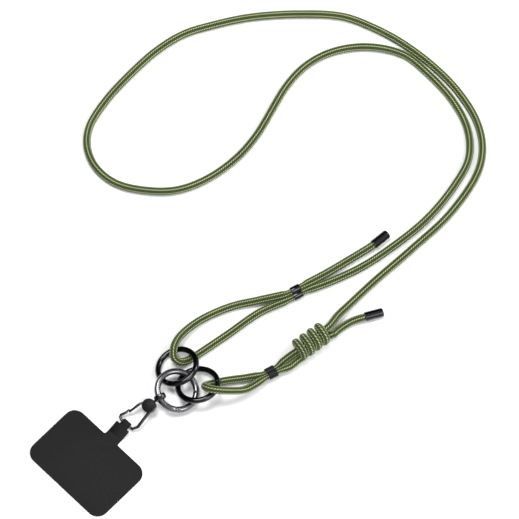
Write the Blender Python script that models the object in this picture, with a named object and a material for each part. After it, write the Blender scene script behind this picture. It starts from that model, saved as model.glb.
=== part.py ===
"""Crossbody phone lanyard: one braided cord, two rings, a round spring-gate carabiner,
a swivel snap hook and a flat tether tab that sits inside a phone case.

Metres, +Z up. The origin is the centre of the tab's underside, the face that lies on the
phone. The whole lanyard lies on the plane z = 0. The cord is one rope: it runs from the
first end cap through the upper bead, round the upper ring, back through the upper bead,
round the neck loop, through the core of the adjuster knot, through the lower bead, round
the lower ring, back through the lower bead, and ends in four wraps round itself and a tail.
"""
import math

import bmesh
import bpy
from mathutils import Matrix, Vector

# ---------------------------------------------------------------- driving dimensions
GAP = 0.0003                    # between neighbouring pieces

TAB_LENGTH = 0.060              # the tab's long side
TAB_WIDTH = 0.041               # the tab's short side, along the neck
TAB_CORNER = 0.007
TAB_THICKNESS = 0.0006
TAB_NECK_ANGLE = math.radians(45.6)   # the neck's direction, from +X
NECK_WIDTH = 0.0101
NECK_FLAT_END = 0.024           # the neck bends up here, from the tab's centre
TONGUE_WIDTH = 0.0052           # the folded end that goes round the hook's bar
BAR_DISTANCE = 0.0331           # hook bar from the tab's centre
BAR_HEIGHT = 0.0025
BAR_RADIUS = 0.0008
FOLD_RADIUS = 0.0019            # outside of the neck's fold
FOLD_BORE = 0.00135             # inside of the neck's fold
NECK_FILLET = 0.0010            # where the neck leaves the plate
NECK_SETBACK = 0.0026           # the neck narrows to the tongue this far before the bar
FOLD_TAIL = 0.0030              # the folded lap ends this far past the neck's bend

RING_RADIUS = 0.01175           # to the middle of the wire: 27 mm outside, 20 mm inside
RING_WIRE = 0.00175             # wire radius
CARABINER_RADIUS = 0.0116
CARABINER_WIRE = 0.00185
# centre, then the plane's rise along X and along Y
UPPER_RING_PLACE = (Vector((0.0528, 0.0579, 0.00604)), 0.325, -0.210)
LOWER_RING_PLACE = (Vector((0.0649, 0.0464, 0.00627)), 0.166, -0.336)
CARABINER_PLACE = (Vector((0.0527, 0.0428, 0.00651)), -0.233, 0.082)

GATE_PIN_ANGLE = math.radians(275)    # the carabiner gate's hinge, anticlockwise from +X
NOSE_ANGLE = math.radians(0)          # where the gate's tip meets the body
GATE_REACH = 0.0150                   # gate tip's distance from the hinge pin
TONGUE_HALF = 0.00055                 # half thickness of the body's two tongues
SLOT_HALF = 0.00085                   # half height of the gate's two slots
KNUCKLE_RADIUS = 0.00185
CARABINER_PIN_RADIUS = 0.0006
CARABINER_PIN_HOLE = 0.00072
NOSE_TONGUE_WIDTH = 0.0013            # half widths of the two tongues
HINGE_TONGUE_WIDTH = 0.00135
HINGE_TONGUE_LENGTH = 0.0030
NOSE_SLOT_DEPTH = 0.0027
SPRING_START = math.radians(9)        # the gate's spring, past the pin
SPRING_END = math.radians(30)
CARABINER_SPRING_RADIUS = 0.00060     # to the middle of the spring's wire
SPRING_WIRE = 0.00012                 # wire radius of both springs

EYE_ANGLE = math.radians(206.5)       # where the swivel eye sits on the carabiner
EYE_BORE = 0.00215
EYE_OUTER = 0.00305
EYE_SLACK = 0.0010                    # how much longer than wide the eye's hole is
EYE_WIDTH = 0.0034
POST_RADIUS = 0.0008
POST_HEAD_RADIUS = 0.00115
POST_HEAD_FRONT = 0.0028              # the head's near face, from the drum's middle
POST_HEAD_LENGTH = 0.0008
EYE_TO_DRUM = 0.0076                  # carabiner wire to the hook drum's centre

DRUM_RADIUS = 0.0042
DRUM_INNER = 0.0034
DRUM_BOTTOM = -0.0022
DRUM_FLOOR = -0.0015
DRUM_RIM = 0.0014
CAP_RADIUS = 0.0041
CAP_BOTTOM = 0.00165
CAP_TOP = 0.00235
PIVOT_RADIUS = 0.0005
PIVOT_HOLE = 0.00065
HUB_RADIUS = 0.0013
HUB_HALF = 0.0005
GATE_SLOT_HALF = 0.0009
HOOK_SPRING_RADIUS = 0.0010
HOOK_SPRING_HEIGHT = 0.00045
BAR_SIDE_STEP = 0.0006                # the tongue's middle, off the hook's axis
BAR_HALF_LENGTH = 0.0052

CORD_RADIUS = 0.0023
CORD_IN_BEAD = 0.0017                 # the cord is squeezed inside a bead
CORD_IN_CAP = 0.0020
BEAD_CHANNEL = 0.0020
BEAD_OUTER = 0.00245
BEAD_SPACING = 0.00185                # from the bead's middle to each strand
BEAD_LENGTH = 0.0056
CAP_LENGTH = 0.0113
CAP_OUTER = 0.00275
CAP_BORE = 0.0023
CAP_BORE_DEPTH = 0.0060

KNOT_CENTRE = Vector((0.1321, 0.07385, 0.0071))
KNOT_ANGLE = math.radians(37.2)
KNOT_WRAPS = 4
KNOT_PITCH = 0.0056
KNOT_WRAP_RADIUS = 0.00475            # from the knot's axis to the middle of a wrap

# middle of a bead, the strands' direction from +X, and how the two strands are stacked:
# a positive tilt lifts the strand on the right of that direction
UPPER_BEAD_PLACE = (Vector((0.1228, 0.1054, 0.0036)), math.radians(29.5), math.radians(-33))
LOWER_BEAD_PLACE = (Vector((0.1079, 0.0551, 0.0036)), math.radians(29.0), math.radians(33))
# mouth of an end cap and the direction in which it points
UPPER_CAP_PLACE = (Vector((0.1682, 0.1356, 0.0028)), math.radians(40.6))
LOWER_CAP_PLACE = (Vector((0.1629, 0.0901, 0.0028)), math.radians(15.9))

# ---------------------------------------------------------------- the cord's route
UPPER_CAP_ROUTE = [
    (0.1724, 0.1392, 0.0028), (0.1682, 0.1356, 0.0028), (0.1538, 0.1262, 0.0025),
    (0.1399, 0.1173, 0.0030), (0.1264, 0.1092, 0.0046), (0.1220, 0.1068, 0.0046),
    (0.1177, 0.1043, 0.0046),
    (0.1020, 0.1008, 0.0031), (0.0840, 0.0966, 0.0025), (0.0665, 0.0882, 0.0028),
    (0.0562, 0.0790, 0.0054)]
UPPER_RING_ROUTE = [
    (0.0520, 0.0724, 0.0078), (0.0506, 0.0672, 0.0083), (0.0511, 0.0633, 0.0064),
    (0.0543, 0.0616, 0.0042), (0.0583, 0.0626, 0.0028), (0.0630, 0.0655, 0.0024),
    (0.0705, 0.0707, 0.0024), (0.0830, 0.0797, 0.0024), (0.1010, 0.0930, 0.0024),
    (0.1192, 0.1016, 0.0026), (0.1236, 0.1041, 0.0026), (0.1279, 0.1065, 0.0026),
    (0.1420, 0.1122, 0.0024)]
NECK_ROUTE = [
    (0.1605, 0.1213), (0.1780, 0.1333), (0.1999, 0.1521), (0.2164, 0.1732), (0.2252, 0.1908),
    (0.2249, 0.2091), (0.2164, 0.2278), (0.2010, 0.2463), (0.1871, 0.2580), (0.1664, 0.2630),
    (0.1457, 0.2602), (0.1301, 0.2519), (0.1180, 0.2389), (0.0990, 0.2055), (0.0869, 0.1907),
    (0.0697, 0.1777), (0.0524, 0.1708), (0.0351, 0.1703), (0.0161, 0.1749), (0.0040, 0.1851),
    (-0.0014, 0.1981), (-0.0003, 0.2110), (0.0092, 0.2278), (0.0248, 0.2463), (0.0403, 0.2612),
    (0.0559, 0.2714), (0.0731, 0.2772), (0.0956, 0.2823), (0.1240, 0.2844), (0.1509, 0.2828),
    (0.1699, 0.2752), (0.1871, 0.2650), (0.2061, 0.2492), (0.2199, 0.2334), (0.2303, 0.2148),
    (0.2335, 0.1981), (0.2303, 0.1815), (0.2137, 0.1556), (0.1917, 0.1338), (0.1681, 0.1121)]
KNOT_ENTRY_ROUTE = [
    (0.1540, 0.0980, 0.0027), (0.1470, 0.0903, 0.0046), (0.1441, 0.0857, 0.0064),
    (0.1418, 0.0824, 0.0074)]
STANDING_ROUTE = [                    # knot core to the lower ring, under its wire
    (0.1222, 0.0664, 0.0071), (0.1203, 0.0655, 0.0060), (0.1145, 0.0616, 0.0037),
    (0.1110, 0.0587, 0.0026), (0.1072, 0.0565, 0.0026), (0.1033, 0.0543, 0.0026),
    (0.0929, 0.0521, 0.0024),
    (0.0830, 0.0507, 0.0024), (0.0768, 0.0495, 0.0024), (0.0742, 0.0487, 0.0024)]
LOWER_RING_ROUTE = [                  # the fold over the lower ring's wire
    (0.0714, 0.0476, 0.0035), (0.0694, 0.0456, 0.0070), (0.0697, 0.0430, 0.0114),
    (0.0730, 0.0408, 0.0142), (0.0772, 0.0401, 0.0144)]
RETURN_ROUTE = [                      # lower ring to the knot's first wrap
    (0.0850, 0.0408, 0.0115), (0.0930, 0.0434, 0.0070), (0.1048, 0.0516, 0.0046),
    (0.1087, 0.0537, 0.0046), (0.1125, 0.0559, 0.0046), (0.1188, 0.0587, 0.0040),
    (0.1222, 0.0614, 0.0043), (0.1245, 0.0632, 0.0046)]
TAIL_ROUTE = [
    (0.1441, 0.0787, 0.0040), (0.1462, 0.0810, 0.0028), (0.1505, 0.0846, 0.0024),
    (0.1560, 0.0878, 0.0025), (0.1629, 0.0901, 0.0028), (0.1684, 0.0917, 0.0028)]
TALL = 0.0040                         # half height of a cutter that goes right through
FLOOR_HEIGHT = 0.0024                 # the cord's middle where it lies on the ground
ROUTE_TURN = math.radians(16)         # a tube ring at least at each such turn
ROUTE_STEP = 0.020                    # and at least at each such length
BEAD_ROUTE_STEP = 0.0022              # finer where a bead or a cap squeezes the cord
SQUEEZE_HALF = 0.0050                 # squeezed this far from a bead's middle
SQUEEZE_FADE = 0.0045                 # and round again this much further on


# ---------------------------------------------------------------- helpers
def clear_scene():
    for thing in list(bpy.data.objects):
        bpy.data.objects.remove(thing, do_unlink=True)


def make_material(name, colour, roughness, metallic):
    material = bpy.data.materials.new(name)
    material.use_nodes = True
    shader = material.node_tree.nodes["Principled BSDF"]
    shader.inputs["Base Color"].default_value = (*colour, 1.0)
    shader.inputs["Roughness"].default_value = roughness
    shader.inputs["Metallic"].default_value = metallic
    return material


def add_object(name, mesh_data, material, place=None):
    thing = bpy.data.objects.new(name, mesh_data)
    bpy.context.scene.collection.objects.link(thing)
    if material:
        mesh_data.materials.append(material)
    thing.matrix_world = place or Matrix()
    return thing


def from_bmesh(name, shape, material=None, place=None, sharp=math.radians(35)):
    bmesh.ops.recalc_face_normals(shape, faces=shape.faces)
    mesh = bpy.data.meshes.new(name)
    shape.to_mesh(mesh)
    shape.free()
    mesh.shade_smooth()
    mesh.set_sharp_from_angle(angle=sharp)
    return add_object(name, mesh, material, place)


def hide_helper(thing):
    thing.hide_render = True
    thing.display_type = "WIRE"
    return thing


def combine(thing, operand, operation):
    """Add a Boolean modifier whose operand stays as a hidden helper."""
    hide_helper(operand)
    step = thing.modifiers.new(operation.title(), "BOOLEAN")
    step.operation = operation
    step.object = operand
    return thing


def add_bevel(thing, width, segments=2, angle=math.radians(40)):
    step = thing.modifiers.new("Bevel", "BEVEL")
    step.width = width
    step.segments = segments
    step.limit_method = "ANGLE"
    step.angle_limit = angle
    return thing


def frame_matrix(origin, x_axis, z_axis):
    """A frame at origin whose x axis is x_axis and whose z axis is nearest z_axis."""
    x_axis = x_axis.normalized()
    y_axis = z_axis.cross(x_axis).normalized()
    z_axis = x_axis.cross(y_axis)
    turn = Matrix((x_axis, y_axis, z_axis)).transposed().to_4x4()
    return Matrix.Translation(origin) @ turn


def upright_along(origin, z_axis):
    """A frame at origin whose z axis is z_axis, turned about it as Blender tracks an axis."""
    return Matrix.Translation(origin) @ z_axis.to_track_quat("Z", "Y").to_matrix().to_4x4()


def sloped_place(place):
    """The frame of a ring: x axis over world +X, z axis along the ring's axis."""
    centre, slope_x, slope_y = place
    return frame_matrix(centre, Vector((1, 0, slope_x)), Vector((-slope_x, -slope_y, 1)))


def heading(angle):
    return Vector((math.cos(angle), math.sin(angle), 0))


def arc_points(centre, radius, start, end, steps):
    """Points in a plane, from start to end angle in degrees."""
    angles = [math.radians(start + (end - start) * k / steps) for k in range(steps + 1)]
    return [(centre[0] + radius * math.cos(a), centre[1] + radius * math.sin(a)) for a in angles]


def prism(name, outline, low, high, material=None, place=None):
    """A flat outline in x and y, extruded from z = low to z = high."""
    shape = bmesh.new()
    face = shape.faces.new([shape.verts.new((x, y, low)) for x, y in outline])
    grown = bmesh.ops.extrude_face_region(shape, geom=[face])["geom"]
    corners = [item for item in grown if isinstance(item, bmesh.types.BMVert)]
    bmesh.ops.translate(shape, verts=corners, vec=(0, 0, high - low))
    return from_bmesh(name, shape, material, place)


def cylinder(name, radius, low, high, material=None, place=None, sides=32):
    outline = arc_points((0, 0), radius, 0, 360 * (sides - 1) / sides, sides - 1)
    return prism(name, outline, low, high, material, place)


def turned(name, profile, material=None, place=None, sides=28):
    """A solid of revolution about the z axis from (radius, height) points, axis to axis."""
    shape = bmesh.new()
    verts = [shape.verts.new((radius, 0, height)) for radius, height in profile]
    edges = [shape.edges.new(pair) for pair in zip(verts, verts[1:])]
    bmesh.ops.spin(shape, geom=verts + edges, cent=(0, 0, 0), axis=(0, 0, 1),
                   angle=math.tau, steps=sides, use_merge=True)
    bmesh.ops.remove_doubles(shape, verts=shape.verts, dist=1e-7)
    return from_bmesh(name, shape, material, place)


def loft(name, stations, material=None, place=None, sides=14, closed=False):
    """Skin rings of an oval section along a path.

    A station is (middle, across, up, half_width, half_height).
    """
    shape = bmesh.new()
    rings = []
    for middle, across, up, half_width, half_height in stations:
        ring = []
        for k in range(sides):
            angle = math.tau * k / sides
            offset = across * (half_width * math.cos(angle)) + up * (half_height * math.sin(angle))
            ring.append(shape.verts.new(middle + offset))
        rings.append(ring)
    pairs = list(zip(rings, rings[1:]))
    if closed:
        pairs.append((rings[-1], rings[0]))
    for near, far in pairs:
        for k in range(sides):
            n = (k + 1) % sides
            shape.faces.new((near[k], near[n], far[n], far[k]))
    if not closed:
        shape.faces.new(list(reversed(rings[0])))
        shape.faces.new(rings[-1])
    return from_bmesh(name, shape, material, place)


def flat_bar(name, path, material=None, place=None, sides=12):
    """A loft along a path in the x-y plane: points are (x, y, half_width, half_height)."""
    stations = []
    for k, (x, y, half_width, half_height) in enumerate(path):
        before = path[max(k - 1, 0)]
        after = path[min(k + 1, len(path) - 1)]
        along = Vector((after[0] - before[0], after[1] - before[1], 0)).normalized()
        across = Vector((-along.y, along.x, 0))
        stations.append((Vector((x, y, 0)), across, Vector((0, 0, 1)), half_width, half_height))
    return loft(name, stations, material, place, sides)


def wire_arc(name, radius, half_width, half_height, start, end, material=None, place=None,
             step=math.radians(6), sides=14):
    """A bent wire from one angle to another round the z axis."""
    count = max(2, round(abs(end - start) / step))
    stations = []
    for k in range(count + 1):
        out = heading(start + (end - start) * k / count)
        stations.append((out * radius, out, Vector((0, 0, 1)), half_width, half_height))
    return loft(name, stations, material, place, sides)


def sector(name, inner, outer, start, end, half_height, place):
    """A flat piece of a ring between two radii and two angles, centred on z = 0."""
    near = arc_points((0, 0), inner, math.degrees(start), math.degrees(end), 12)
    far = arc_points((0, 0), outer, math.degrees(end), math.degrees(start), 12)
    return prism(name, near + far, -half_height, half_height, None, place)


def coil(name, radius, wire, turns, length, material, place):
    """A round-wire spring along z, from z = 0."""
    per_turn = 10
    count = round(turns * per_turn)
    stations = []
    for k in range(count + 1):
        angle = math.tau * k / per_turn
        out = heading(angle)
        along = Vector((-out.y, out.x, length / (math.tau * radius * turns))).normalized()
        middle = out * radius + Vector((0, 0, length * k / count))
        stations.append((middle, out, along.cross(out), wire, wire))
    return loft(name, stations, material, place, sides=5)


# ---------------------------------------------------------------- the cord
def with_height(points):
    return [Vector(point) if len(point) == 3 else Vector((*point, FLOOR_HEIGHT))
            for point in points]


def smooth_curve(points, spacing=0.0005):
    """Read a centripetal Catmull-Rom curve through the points at even, fine steps."""
    points = [2 * points[0] - points[1]] + points + [2 * points[-1] - points[-2]]
    dense = []
    for p0, p1, p2, p3 in zip(points, points[1:], points[2:], points[3:]):
        t0 = 0.0
        t1 = t0 + math.sqrt((p1 - p0).length)
        t2 = t1 + math.sqrt((p2 - p1).length)
        t3 = t2 + math.sqrt((p3 - p2).length)
        count = max(2, int((p2 - p1).length / spacing))
        for k in range(count):
            t = t1 + (t2 - t1) * k / count
            a1 = p0 * ((t1 - t) / (t1 - t0)) + p1 * ((t - t0) / (t1 - t0))
            a2 = p1 * ((t2 - t) / (t2 - t1)) + p2 * ((t - t1) / (t2 - t1))
            a3 = p2 * ((t3 - t) / (t3 - t2)) + p3 * ((t - t2) / (t3 - t2))
            b1 = a1 * ((t2 - t) / (t2 - t0)) + a2 * ((t - t0) / (t2 - t0))
            b2 = a2 * ((t3 - t) / (t3 - t1)) + a3 * ((t - t1) / (t3 - t1))
            dense.append(b1 * ((t2 - t) / (t2 - t1)) + b2 * ((t - t1) / (t2 - t1)))
    dense.append(points[-2])
    return dense


def cord_radius(point):
    """The cord's radius at a point: smaller inside the beads and the end caps."""
    radius = CORD_RADIUS
    for middle, _, _ in (UPPER_BEAD_PLACE, LOWER_BEAD_PLACE):
        far = (point - middle).length - SQUEEZE_HALF
        share = min(max(far / SQUEEZE_FADE, 0.0), 1.0)
        radius = min(radius, CORD_IN_BEAD + (CORD_RADIUS - CORD_IN_BEAD) * share)
    for mouth, angle in (UPPER_CAP_PLACE, LOWER_CAP_PLACE):
        beside = (point - mouth).length < CAP_BORE_DEPTH
        if beside and (point - mouth).dot(heading(angle)) > -GAP:
            radius = CORD_IN_CAP
    return radius


def cord_tube(name, route, material):
    """A round tube along the route, with more rings where it turns or narrows."""
    dense = smooth_curve(with_height(route))
    chosen = [dense[0]]
    travelled = 0.0
    direction = (dense[1] - dense[0]).normalized()
    for before, here in zip(dense, dense[1:]):
        step = here - before
        travelled += step.length
        narrow = cord_radius(here) < CORD_RADIUS
        turned_far = step.length > 0 and direction.angle(step) > ROUTE_TURN
        if turned_far or travelled > ROUTE_STEP or (narrow and travelled > BEAD_ROUTE_STEP):
            chosen.append(here)
            travelled = 0.0
            direction = step.normalized()
    if (dense[-1] - chosen[-1]).length < BEAD_ROUTE_STEP / 2:
        chosen.pop()
    chosen.append(dense[-1])
    curve = bpy.data.curves.new(name, "CURVE")
    curve.dimensions = "3D"
    curve.bevel_depth = CORD_RADIUS
    curve.bevel_resolution = 3
    curve.use_fill_caps = True
    spline = curve.splines.new("POLY")
    spline.points.add(len(chosen) - 1)
    for slot, point in zip(spline.points, chosen):
        slot.co = (*point, 1.0)
        slot.radius = cord_radius(point) / CORD_RADIUS
    return add_object(name, curve, material)


def build_cord(material):
    cord_tube("cord_main", UPPER_CAP_ROUTE + UPPER_RING_ROUTE + NECK_ROUTE + KNOT_ENTRY_ROUTE,
              material)
    cord_tube("cord_lower_loop", STANDING_ROUTE + LOWER_RING_ROUTE + RETURN_ROUTE, material)
    cord_tube("cord_tail", TAIL_ROUTE, material)


def build_knot(material):
    """The outer shape of the wraps: a turned solid with one lobe for each wrap."""
    half = KNOT_WRAPS * KNOT_PITCH / 2
    profile = [(0.0, -half)]
    lobe_steps = 6
    lobe_reach = 0.95               # how much of a wrap's half circle shows
    for wrap in range(KNOT_WRAPS):
        middle = -half + (wrap + 0.5) * KNOT_PITCH
        first = 0 if wrap == 0 else 1
        for k in range(first, lobe_steps + 1):
            share = lobe_reach * (2 * k / lobe_steps - 1)
            height = middle + share * KNOT_PITCH / (2 * lobe_reach)
            bulge = CORD_RADIUS * math.sqrt(1 - share * share)
            profile.append((KNOT_WRAP_RADIUS + bulge, height))
    profile.append((0.0, half))
    turned("adjuster_knot", profile, material, upright_along(KNOT_CENTRE, heading(KNOT_ANGLE)),
           sides=20)


def figure_eight(radius, steps=12):
    """The outline of two equal circles that overlap, side by side along y."""
    half = math.degrees(math.acos(BEAD_SPACING / radius))
    right = arc_points((0, BEAD_SPACING), radius, -90 + half, 270 - half, steps)
    left = arc_points((0, -BEAD_SPACING), radius, 90 + half, 450 - half, steps)
    return right[:-1] + left[:-1]


def build_bead(name, place, material):
    """A short double-barrel tube that holds two strands side by side."""
    middle, angle, tilt = place
    along = heading(angle)
    right = Vector((along.y, -along.x, 0)) * math.cos(tilt) + Vector((0, 0, math.sin(tilt)))
    frame = frame_matrix(middle, along, along.cross(-right))
    turn = frame @ Matrix.Rotation(math.radians(90), 4, "Y")
    shape = bmesh.new()
    loops = []
    for outline, height in ((figure_eight(BEAD_OUTER), -0.5), (figure_eight(BEAD_OUTER), 0.5),
                            (figure_eight(BEAD_CHANNEL), 0.5), (figure_eight(BEAD_CHANNEL), -0.5)):
        loops.append([shape.verts.new((x, y, height * BEAD_LENGTH)) for x, y in outline])
    count = len(loops[0])
    for near, far in zip(loops, loops[1:] + loops[:1]):
        for k in range(count):
            n = (k + 1) % count
            shape.faces.new((near[k], near[n], far[n], far[k]))
    return from_bmesh(name, shape, material, turn)


def build_end_cap(name, place, material):
    """A cup crimped on the cord's end: a blind bore and a rounded far end."""
    mouth, angle = place
    rounding = 0.0008
    lip = 0.0002
    corner = arc_points((CAP_OUTER - rounding, CAP_LENGTH - rounding), rounding, 0, 90, 5)
    profile = [(0, CAP_BORE_DEPTH), (CAP_BORE, CAP_BORE_DEPTH), (CAP_BORE, 0),
               (CAP_OUTER - lip, 0), (CAP_OUTER, lip), *corner, (0, CAP_LENGTH)]
    turned(name, profile, material, upright_along(mouth, heading(angle)), sides=20)


# ---------------------------------------------------------------- rings and carabiner
def build_ring(name, place, material):
    stations = []
    count = 44
    for k in range(count):
        out = heading(math.tau * k / count)
        stations.append((out * RING_RADIUS, out, Vector((0, 0, 1)), RING_WIRE, RING_WIRE))
    return loft(name, stations, material, sloped_place(place), sides=12, closed=True)


def at_pin():
    """The place of the carabiner's hinge pin in the carabiner's own frame."""
    return Matrix.Translation(heading(GATE_PIN_ANGLE) * CARABINER_RADIUS)


def carabiner_wire(name, start, end, material=None, step=math.radians(6)):
    """A stretch of the carabiner's round wire, between two angles."""
    return wire_arc(name, CARABINER_RADIUS, CARABINER_WIRE, CARABINER_WIRE, start, end,
                    material, sloped_place(CARABINER_PLACE), step)


def build_carabiner_body(material):
    """The long arc, with a slanted nose and a thin tongue at each end."""
    place = sloped_place(CARABINER_PLACE)
    pin_place = place @ at_pin()
    shoulder = GATE_PIN_ANGLE - math.radians(5.5)
    nose_overlap = math.radians(15)
    body = carabiner_wire("carabiner_body", NOSE_ANGLE + nose_overlap * 0.8, shoulder, material)
    nose = carabiner_wire("nose_blank", NOSE_ANGLE - nose_overlap, NOSE_ANGLE + nose_overlap,
                          step=math.radians(4))
    combine(nose, cylinder("tip_clearance", GATE_REACH + GAP, -TALL, TALL, None, pin_place, 96),
            "DIFFERENCE")
    nose_tongue = wire_arc("nose_tongue", CARABINER_RADIUS, NOSE_TONGUE_WIDTH, TONGUE_HALF,
                           NOSE_ANGLE - math.radians(13), NOSE_ANGLE + math.radians(14), None,
                           place, step=math.radians(4))
    knuckle_room = cylinder("knuckle_room", KNUCKLE_RADIUS + GAP, -TALL, TALL, None, pin_place)
    combine(body, knuckle_room, "DIFFERENCE")
    combine(body, nose, "UNION")
    combine(body, nose_tongue, "UNION")
    back = Matrix.Rotation(GATE_PIN_ANGLE - math.pi / 2, 4, "Z")
    outline = arc_points((0, 0), HINGE_TONGUE_WIDTH, 90, 270, 10)
    outline += [(HINGE_TONGUE_LENGTH, -HINGE_TONGUE_WIDTH), (HINGE_TONGUE_LENGTH,
                                                             HINGE_TONGUE_WIDTH)]
    tongue = prism("hinge_tongue", outline, -TONGUE_HALF, TONGUE_HALF, None, pin_place @ back)
    combine(body, tongue, "UNION")
    combine(body, cylinder("body_pin_hole", CARABINER_PIN_HOLE, -TALL, TALL, None, pin_place, 20),
            "DIFFERENCE")


def build_carabiner_gate(material):
    """The arc that opens: a round knuckle at the hinge and a slot at each end."""
    place = sloped_place(CARABINER_PLACE)
    pin_place = place @ at_pin()
    gate = carabiner_wire("carabiner_gate", GATE_PIN_ANGLE, math.tau + math.radians(4), material)
    knuckle = carabiner_wire("knuckle_blank", GATE_PIN_ANGLE - math.radians(12),
                             GATE_PIN_ANGLE + math.radians(4), step=math.radians(4))
    combine(knuckle, cylinder("knuckle_round", KNUCKLE_RADIUS, -TALL, TALL, None, pin_place),
            "INTERSECT")
    combine(gate, knuckle, "UNION")
    combine(gate, cylinder("gate_end", GATE_REACH, -TALL, TALL, None, pin_place, 96), "INTERSECT")
    slot_side = 0.0024
    combine(gate, sector("hinge_slot", CARABINER_RADIUS - slot_side, CARABINER_RADIUS + slot_side,
                         GATE_PIN_ANGLE - math.radians(14), GATE_PIN_ANGLE + SPRING_END
                         + math.radians(2), SLOT_HALF, place), "DIFFERENCE")
    combine(gate, sector("nose_slot", GATE_REACH - NOSE_SLOT_DEPTH, GATE_REACH + slot_side,
                         math.radians(15), math.radians(80), SLOT_HALF, pin_place), "DIFFERENCE")
    combine(gate, cylinder("gate_pin_hole", CARABINER_PIN_HOLE, -TALL, TALL, None, pin_place, 20),
            "DIFFERENCE")


def build_carabiner_small_parts(pin_material, spring_material):
    place = sloped_place(CARABINER_PLACE)
    pin_place = place @ at_pin()
    half = CARABINER_WIRE + 0.00005
    pin = cylinder("carabiner_gate_pin", CARABINER_PIN_RADIUS, -half, half, pin_material,
                   pin_place, 20)
    add_bevel(pin, 0.00012)
    start = heading(GATE_PIN_ANGLE + SPRING_START) * CARABINER_RADIUS
    end = heading(GATE_PIN_ANGLE + SPRING_END) * CARABINER_RADIUS
    spring_place = place @ frame_matrix(start, Vector((0, 0, -1)), end - start)
    coil("carabiner_gate_spring", CARABINER_SPRING_RADIUS, SPRING_WIRE, 7, (end - start).length,
         spring_material, spring_place)


# ---------------------------------------------------------------- the hook and its swivel
def tab_directions():
    return heading(TAB_NECK_ANGLE), heading(TAB_NECK_ANGLE - math.pi / 2)


def bar_middle():
    """The middle of the neck's fold, on the hook bar's axis."""
    along, _ = tab_directions()
    return along * BAR_DISTANCE + Vector((0, 0, BAR_HEIGHT))


def eye_place():
    """The carabiner wire's middle inside the eye; x towards the carabiner's middle."""
    place = sloped_place(CARABINER_PLACE)
    out = heading(EYE_ANGLE)
    middle = place @ (out * CARABINER_RADIUS)
    wire_way = place.to_3x3() @ Vector((out.y, -out.x, 0))
    inward = hook_axis()
    inward = inward - wire_way * inward.dot(wire_way)
    return frame_matrix(middle, inward, inward.cross(wire_way))


def hook_axis():
    """From the hook's bar to the eye, allowing for the fold's place off the axis."""
    place = sloped_place(CARABINER_PLACE)
    reach = place @ (heading(EYE_ANGLE) * CARABINER_RADIUS) - bar_middle()
    flat = math.hypot(reach.x, reach.y)
    angle = math.atan2(reach.y, reach.x) + math.asin(BAR_SIDE_STEP / flat)
    rise = reach.z / math.sqrt(flat * flat - BAR_SIDE_STEP ** 2)
    return (heading(angle) + Vector((0, 0, rise))).normalized()


def hook_place():
    """The hook's own frame: x towards the eye, y towards the gate, z up through the drum."""
    axis = hook_axis()
    return frame_matrix(eye_place().translation - axis * EYE_TO_DRUM, axis, Vector((0, 0, 1)))


def bar_in_hook():
    """The bar's middle and direction in the hook's frame; the bar lies in its x-y plane."""
    to_hook = hook_place().inverted()
    middle = to_hook @ bar_middle()
    _, across = tab_directions()
    way = to_hook.to_3x3() @ across
    way = Vector((way.x, way.y, 0)).normalized()
    return Vector((middle.x, middle.y, 0)), way


def build_swivel_eye(material):
    """A flat-sided loop round the carabiner's wire, with a headed post behind it."""
    place = eye_place()
    outer = arc_points((0, 0), EYE_OUTER, 90, 270, 14) + arc_points((EYE_SLACK, 0), EYE_OUTER,
                                                                    -90, 90, 14)
    inner = arc_points((0, 0), EYE_BORE, 90, 270, 14) + arc_points((EYE_SLACK, 0), EYE_BORE,
                                                                   -90, 90, 14)
    turn = place @ Matrix.Rotation(math.radians(90), 4, "X")
    eye = prism("swivel_eye", outer, -EYE_WIDTH / 2, EYE_WIDTH / 2, material, turn)
    add_bevel(eye, 0.0007, 3)
    combine(eye, prism("eye_hole", inner, -TALL, TALL, None, turn), "DIFFERENCE")
    head_near = EYE_TO_DRUM - POST_HEAD_FRONT
    head_far = head_near + POST_HEAD_LENGTH
    profile = [(0, EYE_BORE + 0.0003), (POST_RADIUS, EYE_BORE + 0.0003), (POST_RADIUS, head_near),
               (POST_HEAD_RADIUS, head_near), (POST_HEAD_RADIUS, head_far - 0.0002),
               (POST_HEAD_RADIUS - 0.0002, head_far), (0, head_far)]
    post = turned("swivel_post", profile, None, upright_along(place.translation, -hook_axis()), 20)
    combine(eye, post, "UNION")


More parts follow.
